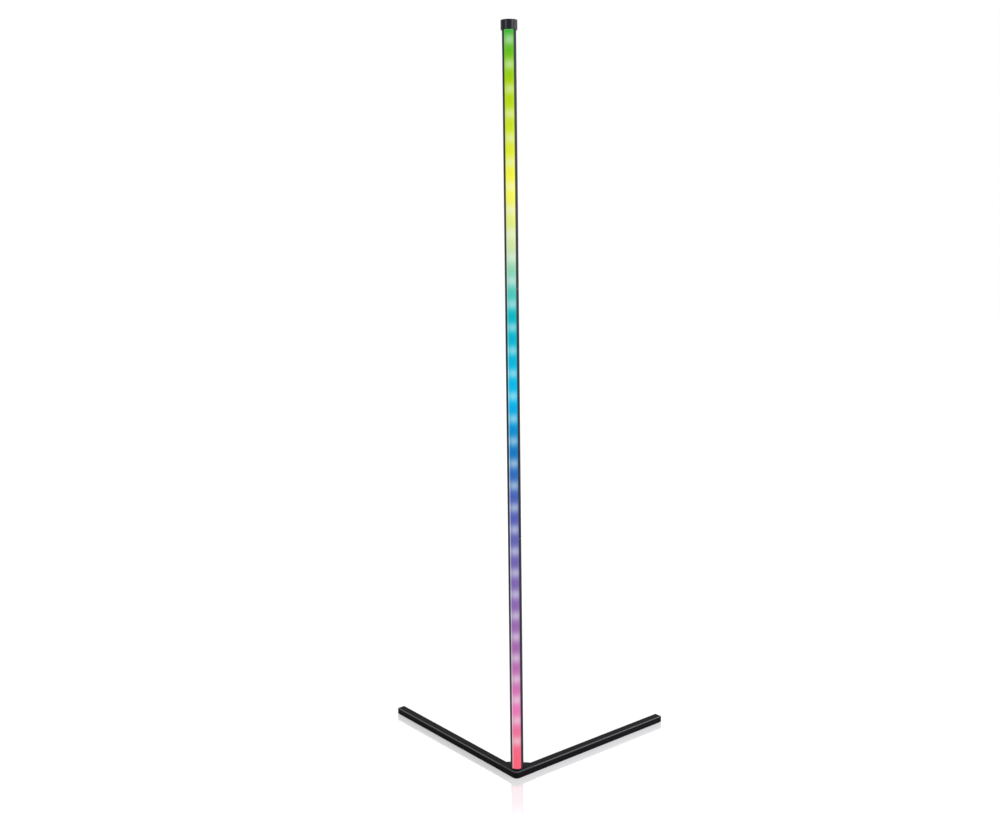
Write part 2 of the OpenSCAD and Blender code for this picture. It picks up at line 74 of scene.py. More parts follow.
camera = bpy.data.objects.new("camera", bpy.data.cameras.new("camera"))
camera.data.lens = CAMERA_LENS
camera.matrix_world = (
    Matrix.Translation(CAMERA_PLACE)
    @ turned(CAMERA_TURN, "Z")
    @ turned(90 - CAMERA_DOWN, "X")
    @ turned(CAMERA_TILT, "Z")
)
bpy.context.scene.collection.objects.link(camera)
bpy.context.scene.camera = camera
bpy.context.scene.view_settings.view_transform = "Standard"
print("camera at", CAMERA_PLACE, "lens", CAMERA_LENS)

# %% [markdown]
# ## A small language for shaders
# A finish is a graph of nodes. Wiring it by hand takes many lines that say little, so this class
# wraps one socket and lets Python's own operators build the Math nodes. `make` adds any other
# node: its settings come first, and its sockets by name, or by number as `i0`, `i1`.

# %% A small language for shaders
class Wire:
    """One output socket of a shader tree, or the bare tree when there is no socket yet."""

    def __init__(self, tree, socket=None):
        self.tree, self.socket = tree, socket

    def make(self, kind, settings=None, out=0, **sockets):
        node = self.tree.nodes.new(kind)
        for name, value in (settings or {}).items():
            if name == "stops":
                self.set_stops(node.color_ramp, value)
            else:
                setattr(node, name, value)
        for name, value in sockets.items():
            numbered = name[0] == "i" and name[1:].isdigit()
            socket = node.inputs[int(name[1:]) if numbered else name.replace("_", " ")]
            if isinstance(value, Wire):
                self.tree.links.new(value.socket, socket)
            else:
                socket.default_value = value
        return Wire(self.tree, node.outputs[out] if node.outputs else None)

    @staticmethod
    def set_stops(ramp, stops):
        while len(ramp.elements) < len(stops):
            ramp.elements.new(0.5)
        for element, (place, tint) in zip(ramp.elements, stops):
            element.position = place
            element.color = tint

    def maths(self, operation, a, b=0.0):
        return self.make("ShaderNodeMath", {"operation": operation}, i0=a, i1=b)

    def __add__(self, other):
        return self.maths("ADD", self, other)

    def __sub__(self, other):
        return self.maths("SUBTRACT", self, other)

    def __rsub__(self, other):
        return self.maths("SUBTRACT", other, self)

    def __mul__(self, other):
        return self.maths("MULTIPLY", self, other)

    def __truediv__(self, other):
        return self.maths("DIVIDE", self, other)

    def __pow__(self, other):
        return self.maths("POWER", self, other)

    __radd__, __rmul__ = __add__, __mul__

    def bell(self, width):
        """1 where this value is 0, and falling to nothing over the width."""
        return self.maths("EXPONENT", (self / width) ** 2 * -1.0)

    def step(self, low, high):
        """0 below low, 1 above high, and smooth between them."""
        return self.make(
            "ShaderNodeMapRange", {"interpolation_type": "SMOOTHSTEP"},
            Value=self, From_Min=low, From_Max=high,
        )

    def mix(self, a, b):
        """Colour a where this value is 0, and colour b where it is 1."""
        return self.make("ShaderNodeMix", {"data_type": "RGBA"}, out=2, i0=self, i6=a, i7=b)


def colour(red, green, blue):
    """The shader's linear colour for one that is given as it looks on a screen, from 0 to 255."""
    def linear(level):
        level /= 255
        return level / 12.92 if level <= 0.04045 else ((level + 0.055) / 1.055) ** 2.4

    return (linear(red), linear(green), linear(blue), 1.0)


finishes = {}


def begin(name):
    """A new material, and the wire that its nodes are made from."""
    material = bpy.data.materials.new(name)
    material.use_nodes = True
    material.node_tree.nodes.clear()
    finishes[name] = material
    return Wire(material.node_tree)


def end(paint, **sockets):
    """Closes a material with the shader that all finishes here use."""
    shader = paint.make("ShaderNodeBsdfPrincipled", **sockets)
    paint.make("ShaderNodeOutputMaterial", Surface=shader)


def place_on(paint):
    """Where a point lies on the object, in metres."""
    return paint.make("ShaderNodeTexCoord", out="Object")


def parts_of(place):
    """The x, y and z of a place."""
    return [place.make("ShaderNodeSeparateXYZ", out=i, Vector=place) for i in range(3)]


def noise(paint, place, scale, detail, stretch=(1, 1, 1)):
    """Cloudy noise from 0 to 1. The scale is in clouds to the metre, drawn out along an axis."""
    mapped = paint.make("ShaderNodeMapping", Vector=place, Scale=[scale * s for s in stretch])
    return paint.make("ShaderNodeTexNoise", Vector=mapped, Scale=1.0, Detail=detail)


def bump(paint, height, depth, strength):
    """Normals for a surface that rises by height times depth, in metres."""
    return paint.make("ShaderNodeBump", Height=height, Distance=depth, Strength=strength)


print("shader words:", [name for name in vars(Wire) if not name.startswith("_")])

# %% [markdown]
# ## Black anodised aluminium
# The pole is an extrusion. The die leaves faint lines along it, and the anodising turns them into a
# satin sheen that is a little streaky from the side. Noise drawn out along the pole's length gives
# both: it changes the roughness, and as a bump it breaks up the reflections. Where two sections
# meet, the saw has bared their edges. That is a pale hairline at each of the two seams.

# %% Black anodised aluminium
SEAM_LINE = 0.0003


def anodised():
    paint = begin("anodised_black")
    place = place_on(paint)
    _, _, z = parts_of(place)
    lines = noise(paint, place, 2600, 3.0, (1, 1, 0.004))
    clouds = noise(paint, place, 45, 2.0)
    low_seam, high_seam = (corner.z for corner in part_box("pole_middle"))
    bared = (z - low_seam).bell(SEAM_LINE) + (z - high_seam).bell(SEAM_LINE)
    dyed = (lines * 0.5 + clouds * 0.5).mix(colour(16, 16, 19), colour(34, 34, 39))
    end(
        paint,
        Base_Color=(bared * (clouds * 0.6 + 0.2)).mix(dyed, colour(130, 130, 134)),
        Roughness=0.28 + lines * 0.14 + clouds * 0.06,
        IOR=1.17,
        Normal=bump(paint, lines, 0.000004, 0.5),
    )


anodised()
print("made", list(finishes))

# %% [markdown]
# ## Powder coat
# The base is sprayed with powder that melts into a tough skin. Close up it isn't flat: it has the
# low waves that painters call orange peel, and a finer grain. Two noises of different size make
# the bump. Along the two upper rims of a leg lies a painted highlight: a lighter base colour that
# stands in for the light the rounded rims catch, and it is weaker on the top. The rims lie at fixed
# depths behind the base's outer faces, and a bell curve on that depth finds them. Round the V's
# point the depth is measured from the rounding's centre. The base's main sizes come first, in
# millimetres, because the paint needs them too.

# %% Powder coat
MM = 0.001
HALF = math.sqrt(0.5)
CORNER_Y, BACK_Y, LEG_W = -21.92, 24.05, 17
ARM = (BACK_Y - CORNER_Y) / HALF - LEG_W
POINT_R = 9
ROUND_Y = CORNER_Y + POINT_R / HALF
# Where the painted rim highlight lies, in from the faces, and how wide it is.
RIM_IN, RIM_LINE = 0.0007, 0.0006


def powder_coat():
    paint = begin("powder_coat")
    place = place_on(paint)
    x, y, z = parts_of(place)
    peel = noise(paint, place, 520, 1.0)
    grain = noise(paint, place, 2400, 2.0)
    dust = noise(paint, place, 260, 3.0).step(0.4, 0.7)
    aside = paint.maths("ABSOLUTE", x)
    depth = (y - aside - CORNER_Y * MM) * HALF
    along = (y + aside - ROUND_Y * MM) * HALF
    outward = paint.maths("MAXIMUM", POINT_R * MM - depth, 0.0)
    round_the_point = (outward ** 2 + paint.maths("MINIMUM", along, 0.0) ** 2) ** 0.5
    outer = (POINT_R * MM - round_the_point - RIM_IN).bell(RIM_LINE)
    inner = (depth - (LEG_W * MM - RIM_IN)).bell(RIM_LINE)
    below_top, above_top = z.step(0.0115, 0.0134), z.step(0.0138, 0.0146)
    # Painted highlight: a lighter colour along the rounded upper rims, weaker on the top, for the
    # light they catch.
    painted_rim_highlight = (outer + inner) * below_top * (1 - above_top * 0.7) * (grain * 0.6 + 0.4)
    coat = (grain.step(0.5, 0.8) * 0.4 + dust * 0.4).mix(colour(2, 2, 3), colour(18, 18, 20))
    end(
        paint,
        Base_Color=(painted_rim_highlight * 0.7).mix(coat, colour(150, 150, 152)),
        Roughness=0.4 + grain * 0.14 + dust * 0.08,
        IOR=1.11,
        Normal=bump(paint, peel * 0.7 + grain * 0.3, 0.00006, 0.6),
    )


powder_coat()
print("made", list(finishes))

# %% [markdown]
# ## Moulded plastic and rubber
# The plastic parts differ in colour, gloss and the grain of the mould, and some in how strongly
# their skin mirrors. One function with those as arguments makes them all, so that they belong
# together.

# %% Moulded plastic and rubber
def moulded(name, dark, light, gloss, grain_depth=0.00002, ior=1.4, clouds=60):
    """dark and light are the colour's two ends, gloss its lowest roughness."""
    paint = begin(name)
    place = place_on(paint)
    grain = noise(paint, place, 1900, 2.0)
    cloud = noise(paint, place, clouds, 3.0)
    end(
        paint,
        Base_Color=(grain * 0.4 + cloud * 0.6).mix(colour(*dark), colour(*light)),
        Roughness=gloss + grain * 0.1 + cloud * 0.05,
        IOR=ior,
        Normal=bump(paint, grain, grain_depth, 0.5),
    )


MOULDED = {
    "cap_plastic": ((9, 9, 14), (20, 20, 28), 0.16, 0.00001, 1.24),
    "black_moulding": ((14, 14, 16), (28, 28, 30), 0.46, 0.00003, 1.2),
    "chip_epoxy": ((30, 30, 33), (44, 44, 47), 0.55, 0.00004),
    "receiver_epoxy": ((14, 10, 16), (26, 20, 28), 0.12, 0.000005, 1.5),
    "foot_rubber": ((26, 26, 27), (44, 44, 44), 0.72, 0.00008, 1.2),
    "cable_jacket": ((24, 24, 26), (38, 38, 40), 0.5, 0.00003),
    "ivory_nylon": ((214, 206, 180), (232, 226, 204), 0.36),
    "white_case": ((226, 226, 220), (240, 240, 236), 0.3),
    "led_resin": ((214, 180, 84), (240, 212, 120), 0.08, 0.000004, 1.5),
    "capacitor_ceramic": ((150, 118, 80), (178, 146, 104), 0.5),
    "foam_tape": ((196, 196, 192), (224, 224, 220), 0.8, 0.0001, 1.2, 400),
}
for name, look in MOULDED.items():
    moulded(name, *look)
print("made", len(finishes), "finishes")

# %% [markdown]
# ## Bare metals
# Screws, bolts and the plate under the base are plain metal. Metal has no colour of its own under
# the shine, so its Base Color tints the reflection, and fine scratches, drawn out one way, blur it.

# %% Bare metals
def bare_metal(name, dark, light, gloss, metallic=1.0, stretch=(1, 0.05, 1)):
    paint = begin(name)
    place = place_on(paint)
    scratches = noise(paint, place, 1600, 4.0, stretch)
    stains = noise(paint, place, 70, 3.0)
    end(
        paint,
        Base_Color=(scratches * 0.5 + stains * 0.5).mix(colour(*dark), colour(*light)),
        Roughness=gloss + scratches * 0.16 + stains * 0.08,
        Metallic=metallic,
        Normal=bump(paint, scratches, 0.00001, 0.4),
    )


bare_metal("zinc_steel", (168, 171, 176), (206, 208, 210), 0.28)
bare_metal("black_oxide", (42, 42, 45), (66, 66, 70), 0.34, 0.8)
bare_metal("nickel_contact", (190, 190, 192), (222, 222, 224), 0.14)
bare_metal("turned_brass", (186, 152, 78), (222, 190, 112), 0.2)
bare_metal("can_aluminium", (178, 180, 184), (214, 215, 218), 0.24, 1.0, (1, 0.2, 1))
print("made", len(finishes), "finishes")

# %% [markdown]
# ## Printed boards
# The control board and the LED strip carry copper under a skin of paint. A brick pattern on the
# board's own plane is enough to suggest the tracks: its mortar lines are the copper, which shows
# as a lighter tone and stands a hair higher. On the strip a row of the pattern is half as high as
# its LEDs are apart.

# %% Printed boards
def printed(name, skin, track, across, up, gloss):
    paint = begin(name)
    x, _, z = parts_of(place_on(paint))
    plane = paint.make("ShaderNodeCombineXYZ", X=x, Y=z)
    tracks = paint.make(
        "ShaderNodeTexBrick", {"offset": 0.37}, out=1, Vector=plane, Scale=1.0,
        Mortar_Size=across * 0.12, Mortar_Smooth=0.3, Brick_Width=across, Row_Height=up,
    )
    end(
        paint,
        Base_Color=tracks.mix(colour(*skin), colour(*track)),
        Roughness=gloss + tracks * 0.1,
        Normal=bump(paint, tracks, 0.00003, 0.6),
    )


printed("green_board", (22, 82, 46), (52, 124, 74), 0.0021, 0.0034, 0.26)
printed("white_strip", (232, 232, 229), (212, 190, 160), 0.005, 0.0208, 0.34)
print("made", len(finishes), "finishes")

# %% [markdown]
# ## The lit diffuser
# This is the finish that makes the lamp. The strip runs through the colours of a rainbow, from
# green at the top to coral at the foot, so a ramp of eleven colours along the height gives the
# light. Each LED is a paler spot: the distance to the nearest LED is a saw-tooth of the height,
# and a bell curve on it, times another across the width, is the spot. A thin pale line along the
# left side is a painted highlight of the soft light there, and a second one lies under the cap's
# edge.
# Both long edges lie in the shade of the pole's lips. The colours are mixed as they look on a
# screen, which keeps the spots' colour clean, and a Gamma node then turns them into light. The
# colour goes mostly into the emission, with a little in the base colour, so that the diffuser
# still takes light and shade from the room.

# %% The lit diffuser
DIFFUSER_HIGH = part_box("diffuser")[1].z
CAP_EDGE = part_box("top_cap")[0].z
WELLS_LOW, WELLS_HIGH = (corner.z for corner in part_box("led_wells"))
WELL_R = 0.002
LED_FIRST, LED_LAST = WELLS_LOW + WELL_R, WELLS_HIGH - WELL_R
LED_PITCH = 1.0 / 24
SPOT_SIZE, SPOT_X, SPOT_SHARE = 0.0102, 0.0014, 0.52
SPOTS_UNTIL, SPOTS_END = 0.012, 0.018
# The painted highlight along the diffuser's left side: its width, its place across and its share.
STREAK_WIDTH, STREAK_X, STREAK_SHARE = 0.0008, -0.0069, 0.66
# The painted highlight just under the cap's edge: its width, how far down it lies, and its share.
CAP_LINE, CAP_LINE_DOWN, CAP_LINE_SHARE = 0.0011, 0.0008, 0.22
SHADE_X, SHADE_FROM, HALF_OPENING, SHADE_SHARE = 0.0004, 0.0077, 0.00884, 0.8
PALE, PALEST, IN_SHADE = (232, 240, 238), 0.85, (40, 44, 50)
GLOW, BASE_SHARE = 0.79, 0.14

LIGHT_DOWN_THE_POLE = {
    "coral": (0.03, 250, 100, 120),
    "pink": (0.14, 230, 120, 180),
    "mauve": (0.255, 165, 105, 170),
    "indigo": (0.545, 75, 95, 175),
    "blue": (0.65, 20, 120, 190),
    "sky": (0.735, 5, 180, 235),
    "turquoise": (0.88, 5, 175, 190),
    "mint": (1.01, 205, 225, 165),
    "yellow": (1.115, 250, 245, 75),
    "lime": (1.295, 160, 205, 5),
    "emerald": (1.385, 50, 170, 45),
}


def on_screen(red, green, blue):
    return (red / 255, green / 255, blue / 255, 1.0)


def lit_diffuser():
    paint = begin("lit_diffuser")
    x, _, z = parts_of(place_on(paint))
    stops = [(height / DIFFUSER_HIGH, on_screen(*seen))
             for height, *seen in LIGHT_DOWN_THE_POLE.values()]
    light = paint.make("ShaderNodeValToRGB", {"stops": stops}, Fac=z / DIFFUSER_HIGH)
    turns = (z - LED_FIRST) / LED_PITCH + 0.5
    from_led = (paint.maths("FRACT", turns) - 0.5) * LED_PITCH
    over_leds = z.step(LED_FIRST - SPOTS_END, LED_FIRST - SPOTS_UNTIL) * (
        1 - z.step(LED_LAST + SPOTS_UNTIL, LED_LAST + SPOTS_END))
    spot = from_led.bell(SPOT_SIZE) * (x - SPOT_X).bell(SPOT_SIZE) * over_leds
    # Painted highlight: a pale streak along the left side, where the soft light on the left
    # reflects.
    painted_streak = (x - STREAK_X).bell(STREAK_WIDTH) * (1 - z.step(0.7, 1.2) * 0.7)
    shade = paint.maths("ABSOLUTE", x - SHADE_X).step(SHADE_FROM, HALF_OPENING)
    # Painted highlight: a pale line on the diffuser just under the cap's edge.
    painted_cap_highlight = (z - CAP_EDGE + CAP_LINE_DOWN).bell(CAP_LINE)
    pale = paint.maths(
        "MINIMUM", spot * SPOT_SHARE + painted_streak * STREAK_SHARE + painted_cap_highlight * CAP_LINE_SHARE, PALEST)
    lit = (shade * SHADE_SHARE).mix(pale.mix(light, on_screen(*PALE)), on_screen(*IN_SHADE))
    seen = paint.make("ShaderNodeGamma", Color=lit, Gamma=2.2)
    end(
        paint,
        Base_Color=paint.make(
            "ShaderNodeMix", {"data_type": "RGBA", "blend_type": "MULTIPLY"}, out=2,
            i0=1.0, i6=seen, i7=(BASE_SHARE, BASE_SHARE, BASE_SHARE, 1)),
        Roughness=0.3 + painted_streak * 0.12,
        IOR=1.13,
        Emission_Color=seen,
        Emission_Strength=GLOW,
    )


lit_diffuser()
print("LEDs from", round(LED_FIRST, 4), "to", round(LED_LAST, 4), "pitch", round(LED_PITCH, 5))

# %% [markdown]
# ## Tools for modelling
# A script models as a hand does: add a simple shape, pick edges or faces, and work on them. An
# operator acts on everything that is selected, so each helper here first lets go of all else.
# Picking is by place: a test on an edge's or a face's middle says whether it is taken. What repeats
# is modelled once and put away, and each copy gets a mesh of its own. Smoothing alone would bend
# the light on a long wall beside a narrow bevel, so the normals are weighted by the faces' areas
# at the end.

# %% Tools for modelling
SMOOTH_UP_TO = 35


def let_go():
    bpy.ops.object.select_all(action="DESELECT")


def hold(piece):
    let_go()
    piece.select_set(True)
    bpy.context.view_layer.objects.active = piece


def named(name):
    """Takes the new primitive, sets its place and scale into its mesh, and names it."""
    piece = bpy.context.active_object
    piece.name = name
    bpy.ops.object.transform_apply(location=True, rotation=True, scale=True)
    return piece


def box_piece(name, low, high):
    """A box between two corners, given in millimetres."""
    low, high = Vector(low) * MM, Vector(high) * MM
    let_go()
    bpy.ops.mesh.primitive_cube_add(size=1, location=(low + high) / 2, scale=high - low)
    return named(name)


def round_piece(name, radius, low, high, sides, top_radius=None):
    """An upright round from height low to high, in millimetres."""
    let_go()
    bpy.ops.mesh.primitive_cone_add(
        vertices=sides, radius1=radius * MM,
        radius2=(radius if top_radius is None else top_radius) * MM,
        depth=(high - low) * MM, location=(0, 0, (low + high) / 2 * MM),
    )
    return named(name)


def pick(piece, kind, test):
    """Goes into edit mode with only the edges or faces picked whose middle passes the test."""
    hold(piece)
    bpy.ops.object.mode_set(mode="EDIT")
    bpy.ops.mesh.select_mode(type=kind)
    bpy.ops.mesh.select_all(action="DESELECT")
    mesh = bmesh.from_edit_mesh(piece.data)
    found = mesh.edges if kind == "EDGE" else mesh.faces
    for item in found:
        middle = sum((v.co for v in item.verts), Vector()) / len(item.verts)
        item.select_set(bool(test(middle / MM, item)))
    bmesh.update_edit_mesh(piece.data)


def pick_all(piece):
    hold(piece)
    bpy.ops.object.mode_set(mode="EDIT")
    bpy.ops.mesh.select_all(action="SELECT")


def done():
    bpy.ops.object.mode_set(mode="OBJECT")


def bevelled(piece, width, segments, test):
    """Rounds the edges that pass the test, by a width in millimetres."""
    pick(piece, "EDGE", test)
    bpy.ops.mesh.bevel(offset=width * MM, segments=segments, profile=0.5, affect="EDGES")
    done()


def cut_off(piece, point, outward):
    """Cuts the piece at a plane, drops what lies on the outward side, and closes the cut."""
    pick_all(piece)
    bpy.ops.mesh.bisect(
        plane_co=Vector(point) * MM, plane_no=outward, use_fill=True, clear_outer=True)
    done()


def ringed(piece, height):
    """Adds a ring of edges at a height, so that a hole near it can't spoil the long faces."""
    pick_all(piece)
    bpy.ops.mesh.bisect(plane_co=(0, 0, height * MM), plane_no=(0, 0, 1))
    done()


def moved(piece, matrix):
    """Sets a move or a turn straight into the mesh, so that the object stays at the origin."""
    piece.data.transform(matrix)
    return piece


def put_away(piece):
    """Takes a model out of the scene, and gives its mesh to make copies from."""
    mesh = piece.data
    bpy.data.objects.remove(piece, do_unlink=True)
    return mesh


def copied(mesh, name):
    """A new piece with its own copy of the mesh."""
    piece = bpy.data.objects.new(name, mesh.copy())
    bpy.context.scene.collection.objects.link(piece)
    return piece


def combined(piece, operation, others):
    for other in others:
        hold(piece)
        combine = piece.modifiers.new("combine", "BOOLEAN")
        combine.operation, combine.object, combine.solver = operation, other, "EXACT"
        bpy.ops.object.modifier_apply(modifier=combine.name)
        bpy.data.objects.remove(other, do_unlink=True)
    return piece


def carved(piece, *cutters):
    """Takes the cutters' shapes out of the piece, and throws them away."""
    combined(piece, "DIFFERENCE", cutters)


def fused(piece, *others):
    """Makes one closed shape of the piece and the others that reach into it."""
    return combined(piece, "UNION", others)


def eased(piece, width, angle=40):
    """Rounds every edge that is sharper than the angle, by a width in millimetres."""
    hold(piece)
    ease = piece.modifiers.new("ease", "BEVEL")
    ease.width, ease.segments = width * MM, 2
    ease.limit_method, ease.angle_limit = "ANGLE", math.radians(angle)
    bpy.ops.object.modifier_apply(modifier=ease.name)


def joined(piece, *others):
    """Puts the others' meshes into the piece's own as they are."""
    hold(piece)
    for other in others:
        other.select_set(True)
    bpy.ops.object.join()
    return piece


def coated(piece, finish):
    piece.data.materials.clear()
    piece.data.materials.append(finishes[finish])


def dressed(piece, finish, slot, *replaced):
    """Smooths a finished piece, paints it, and hides the parts that it stands for."""
    hold(piece)
    bpy.ops.object.shade_smooth_by_angle(angle=math.radians(SMOOTH_UP_TO))
    weigh = piece.modifiers.new("weigh", "WEIGHTED_NORMAL")
    weigh.keep_sharp = True
    bpy.ops.object.modifier_apply(modifier=weigh.name)
    coated(piece, finish)
    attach(piece, "root")
    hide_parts(*replaced)
    corners = (*piece.bound_box[0], *piece.bound_box[6])
    print(piece.name, len(piece.data.polygons), "faces",
          [round(value / MM, 1) for value in corners])


print("modelling tools ready")

# %% [markdown]
# ## Countersunk holes
# Screws hold the pole's sections, its plug and the cap. Each sits in a hole with a wide cone at
# its mouth. The cutter for it is a cone with a straight stem and a short collar that reaches out
# through the surface. It is modelled once, upright, and each hole gets a copy that is turned to
# point at the pole's axis. The copy's mouth lies a little under the round that it cuts, measured
# close to the cone's rim.

# %% Countersunk holes
HEAD_R, STEM_R, HEAD_H = 2.84, 1.55, 1.29
STEM_L, COLLAR_L, OVERLAP = 7, 1.5, 0.005
RIM_R, RIM_SUNK = 2.79, 0.03
CUTTER_SIDES = 32
POLE_R, CAP_R = 12.5, 14.75


def screw_hole():
    """The cutter's mesh, upright, with the middle of its mouth at the origin."""
    cone = round_piece("cone", HEAD_R, 0, HEAD_H, CUTTER_SIDES, STEM_R)
    collar = round_piece("collar", HEAD_R, -COLLAR_L, OVERLAP, CUTTER_SIDES)
    stem = round_piece("stem", STEM_R, HEAD_H - OVERLAP, STEM_L, CUTTER_SIDES)
    return put_away(fused(cone, collar, stem))


upright_hole = screw_hole()


def screw_cutter(radius, height, turn=0):
    """Cutter for a screw whose face lies in a round of that radius, turned round the pole."""
    face = math.sqrt(radius ** 2 - RIM_R ** 2) - RIM_SUNK
    return moved(
        copied(upright_hole, "cutter"),
        turned(turn, "Z")
        @ Matrix.Translation(Vector((0, face, height)) * MM)
        @ turned(90, "X"),
    )


print("screw holes", HEAD_R * 2, "mm wide at the mouth")

# %% [markdown]
# ## The pole's three sections
# One extrusion, cut into three: three quarters of a round wall with a web across it. A narrow
# upright face stands at one lip of the opening, and `spin` sweeps it round the axis to the other
# lip. The web is a plain bar between the walls. Easing the edges gives each seam the hairline
# groove that two butted sections have. `HAIR` keeps surfaces that would touch out of one plane.

# %% The pole's three sections
WALL, WEB_FRONT, WEB_BACK = 1.5, -1.0, 0.5
HALF_ANGLE = 45
HAIR = 0.01
RING_FROM_HOLE = 4
SCREW_POINTS_WITHIN = 5


def swept_wall(name, inner, outer, low, high, start, sweep, steps):
    """A curved wall: one upright face at the start angle, swept round the pole's axis."""
    let_go()
    bpy.ops.mesh.primitive_plane_add(size=1)
    wall = named(name)
    wide, tall = (outer - inner) * MM, (high - low) * MM
    moved(
        wall,
        turned(start, "Z")
        @ Matrix.Translation(((inner + outer) / 2 * MM, 0, (low + high) / 2 * MM))
        @ turned(90, "X")
        @ Matrix.Diagonal((wide, tall, 1, 1)),
    )
    pick_all(wall)
    bpy.ops.mesh.spin(
        steps=steps, angle=math.radians(-sweep), center=(0, 0, 0), axis=(0, 0, 1))
    bpy.ops.mesh.select_all(action="SELECT")
    bpy.ops.mesh.remove_doubles(threshold=0.000001)
    bpy.ops.mesh.normals_make_consistent(inside=False)
    done()
    return wall


def sleeve(node, holes):
    """One section of the pole. Each hole is a height and a turn round the pole from its back."""
    low, high = (corner.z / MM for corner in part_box(node))
    wall = swept_wall(
        node + "_sleeve", POLE_R - WALL, POLE_R, low, high,
        HALF_ANGLE - 90, 360 - 2 * HALF_ANGLE, 108)
    half = math.sqrt((POLE_R - WALL / 2) ** 2 - WEB_BACK ** 2)
    web = box_piece("web", (-half, WEB_FRONT, low + HAIR), (half, WEB_BACK, high - HAIR))
    for height, _ in holes:
        ringed(wall, height - RING_FROM_HOLE)
        ringed(wall, height + RING_FROM_HOLE)
    carved(wall, *(screw_cutter(POLE_R, height, turn) for height, turn in holes))
    eased(wall, 0.22, 50)
    joined(wall, web)
    dressed(wall, "anodised_black", "pole", node)


def screw_heights(node):
    """The heights of the screws in a node, from the places of their meshes' points."""
    heights = sorted({round(v.co.z / MM, 1) for v in nodes[node].data.vertices})
    groups = [[heights[0]]]
    for height in heights[1:]:
        if height - groups[-1][-1] > SCREW_POINTS_WITHIN:
            groups.append([])
        groups[-1].append(height)
    return [(group[0] + group[-1]) / 2 for group in groups]


joints = screw_heights("joiner_screws")
plug_height = screw_heights("plug_screws")[0]
sleeve("pole_lower", [(joints[0], 0), (plug_height, -36), (plug_height, 36)])
sleeve("pole_middle", [(joints[1], 0), (joints[2], 0)])
sleeve("pole_upper", [(joints[3], 0), (screw_heights("cap_screw")[0], 0)])

# %% [markdown]
# ## The diffuser
# The milky cover is a second extrusion. Its lit wall closes the pole's opening flush with the round
# outside, and two thin flanges behind it snap under the pole's lips. All three are arcs about the
# same axis, so the same sweep makes the wall and one flange. The flange's copy is turned to the
# other lip.

# %% The diffuser
LIP, FLANGE_T, FLANGE_ANGLE = -90 - HALF_ANGLE, 1, 7


def diffuser():
    low, high = (corner.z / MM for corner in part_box("diffuser"))
    behind = POLE_R - WALL
    lit = swept_wall(
        "diffuser_cover", behind, POLE_R - HAIR, low, high, LIP, 2 * HALF_ANGLE, 48)
    eased(lit, 0.2, 50)
    flange = put_away(swept_wall(
        "flange", behind - FLANGE_T, behind + HAIR, low, high,
        LIP - FLANGE_ANGLE, 2 * FLANGE_ANGLE, 8))
    joined(lit, *(moved(copied(flange, "flange"), turned(turn, "Z"))
                  for turn in (0, 2 * HALF_ANGLE)))
    dressed(lit, "lit_diffuser", "diffuser", "diffuser")


diffuser()

# %% [markdown]
# ## The top cap
# A small turned-looking moulding: a skirt that goes over the pole and a flat top with a soft edge.
# It starts as a solid round. Insetting its lower face and pushing the middle up makes the skirt,
# and a bevel of several segments rounds the top edge so that it catches a thin line of light.
# `NEAR` is how many millimetres off the middle of a picked edge may be.

# %% The top cap
CAP_FOOT, CAP_TOP, CAP_INSIDE, CAP_BORE = 1383, 1400, 1397.5, 12.65
NEAR = 0.01


def top_cap():
    cap = round_piece("top_cap_shell", CAP_R, CAP_FOOT, CAP_TOP, 128)
    pick(cap, "FACE", lambda middle, face: face.normal.z < -0.9)
    bpy.ops.mesh.inset(thickness=(CAP_R - CAP_BORE) * MM, depth=0)
    bpy.ops.mesh.extrude_region_move(
        TRANSFORM_OT_translate={"value": (0, 0, (CAP_INSIDE - CAP_FOOT) * MM)})
    done()
    bevelled(cap, 0.8, 4, lambda middle, edge: middle.z > CAP_TOP - NEAR and all(
        math.hypot(v.co.x, v.co.y) > (CAP_R - 0.1) * MM for v in edge.verts))
    bevelled(cap, 0.25, 2, lambda middle, edge: middle.z < CAP_FOOT + NEAR)
    screw_low, screw_high = (corner.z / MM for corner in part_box("cap_screw"))
    carved(cap, screw_cutter(CAP_R, (screw_low + screw_high) / 2))
    dressed(cap, "cap_plastic", "cap", "top_cap")


top_cap()

# %% [markdown]
# ## The corner piece
# The casting at the point of the V carries everything. Its outline is simple: two outer faces at
# right angles, two ends where the legs go on, and a straight back edge. A box gives the back edge,
# and four cuts give the rest. The sharp outer corner is then rounded in plan, and the top edges
# with a wide bevel, as the foundry's pattern has them. Last come the pole's socket, the hole for
# the power inlet and the shallow recess for the plate underneath.

# %% The corner piece
CORNER_LOW, CORNER_HIGH = 1.0, 15.5
SOCKET_R, SOCKET_FLOOR = 12.65, 6.5
INLET_R, INLET_Z, INLET_FROM = 4.05, 7.75, 11.6
RECESS_TOP, RECESS_IN = 2.5, 1.2
BLANK_X, BLANK_FRONT = 80, -40
ABOVE, BEHIND = 20, 30


def v_block(name, low, high, drawn_in=0.0):
    """The corner piece's outline between two heights, drawn in on all its sides."""
    block = box_piece(
        name, (-BLANK_X, BLANK_FRONT, low), (BLANK_X, BACK_Y - drawn_in, high))
    arm = ARM - drawn_in
    for side in (-1, 1):
        tip = (0, CORNER_Y + drawn_in / HALF, 0)
        cut_off(block, tip, (side * HALF, -HALF, 0))
        end = (side * arm * HALF, arm * HALF + CORNER_Y, 0)
        cut_off(block, end, (side * HALF, HALF, 0))
    bevelled(block, POINT_R - drawn_in, 24, lambda middle, edge: abs(middle.x) < NEAR
             and middle.y < CORNER_Y + 3 and abs(middle.z - (low + high) / 2) < 0.1)
    return block


